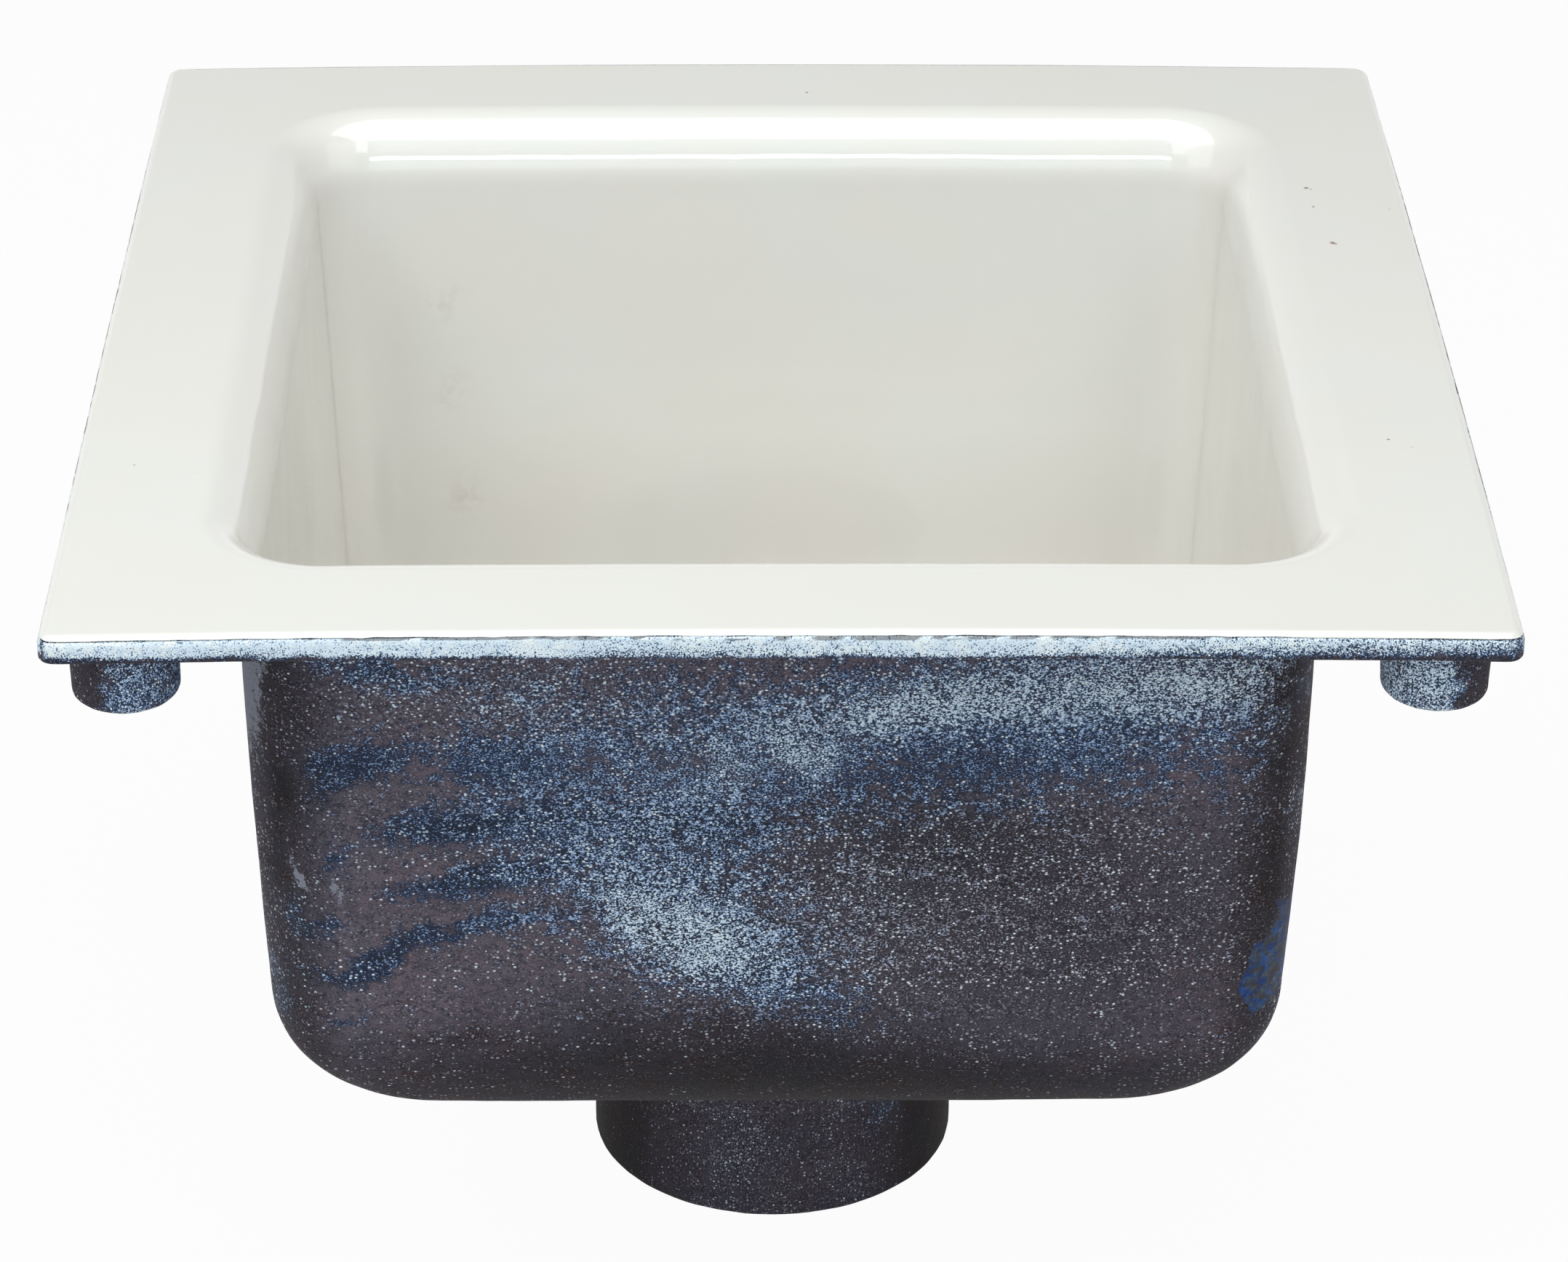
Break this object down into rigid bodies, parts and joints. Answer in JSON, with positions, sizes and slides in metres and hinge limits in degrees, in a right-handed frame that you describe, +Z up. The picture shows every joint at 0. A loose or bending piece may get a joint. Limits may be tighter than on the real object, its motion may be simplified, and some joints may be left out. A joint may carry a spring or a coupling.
{
  "type": "floor sink",
  "caption": "Square cast iron floor sink with an enamelled rim and basin, a plain spigot outlet below, corner lugs under the flange and a lift-out strainer in the floor.",
  "frame": {"origin": "centre of the spigot's lower end, which is the middle of the part's lowest plane", "axes": "+Z up along the outlet, towards the enamelled top face; -Y faces the viewer of the picture; +X to the viewer's right"},
  "size_m": [0.3048, 0.3048, 0.2191],
  "materials": {
    "iron": "sand-cast, rough, with pale blue enamel overspray",
    "enamel": "gloss porcelain enamel, off-white",
    "strainer_metal": "satin, cast and drilled"
  },
  "bodies": {
    "sink": {"rim_flange": "iron", "bowl_shell": "iron", "outlet_collar": "iron", "outlet_spigot": "iron", "corner_lug_front_left": "iron", "corner_lug_front_right": "iron", "corner_lug_back_left": "iron", "corner_lug_back_right": "iron", "enamel_coat": "enamel"},
    "strainer": {"drain_strainer": "strainer_metal"}
  },
  "joints": [
    {"name": "strainer_lift", "type": "slide", "parent": "sink", "child": "strainer", "axis": [0, 0, 1], "range_m": [0, 0.17]}
  ]
}
